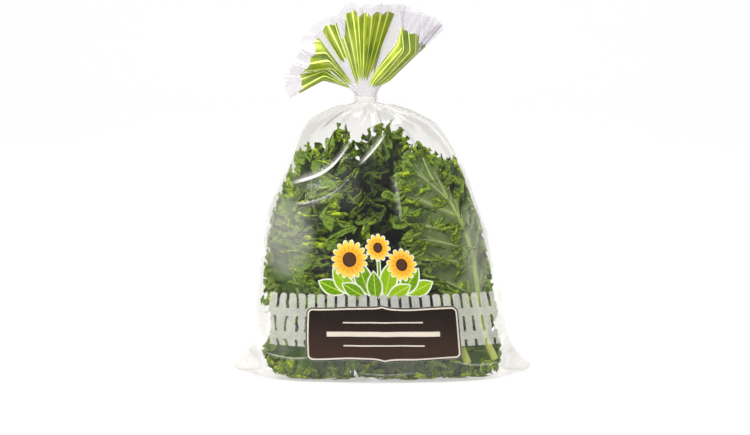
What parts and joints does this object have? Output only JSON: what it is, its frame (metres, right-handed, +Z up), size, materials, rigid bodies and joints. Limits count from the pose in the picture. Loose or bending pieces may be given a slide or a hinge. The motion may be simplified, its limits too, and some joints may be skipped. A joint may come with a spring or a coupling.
{
  "type": "bagged curly kale bunch",
  "caption": "Bunch of curly kale leaves standing in a clear film bag that is gathered and banded at the neck, with a flared mouth.",
  "frame": {"origin": "bottom centre of the whole bag, on the surface it stands on", "axes": "+Z up through the gathered neck, +X to the right seen from the printed front, front towards -Y"},
  "size_m": [0.284, 0.12, 0.356],
  "materials": {
    "printed_film": "thin clear glossy film, slightly hazy, with a printed band, panel and striped mouth",
    "clear_band": "clear glossy film band",
    "kale_leaf": "waxy matte green blade with brighter frilled edges and pale green ribs"
  },
  "bodies": {
    "root": {"bag_film": "printed_film", "neck_band": "clear_band", "kale_leaf_01": "kale_leaf", "kale_leaf_02": "kale_leaf", "kale_leaf_03": "kale_leaf", "kale_leaf_04": "kale_leaf", "kale_leaf_05": "kale_leaf", "kale_leaf_06": "kale_leaf", "kale_leaf_07": "kale_leaf", "kale_leaf_08": "kale_leaf", "kale_leaf_09": "kale_leaf", "kale_leaf_10": "kale_leaf", "kale_leaf_11": "kale_leaf", "kale_leaf_12": "kale_leaf", "kale_leaf_13": "kale_leaf", "kale_leaf_14": "kale_leaf", "kale_leaf_15": "kale_leaf", "kale_leaf_16": "kale_leaf", "kale_leaf_17": "kale_leaf", "kale_leaf_18": "kale_leaf"}
  },
  "joints": []
}
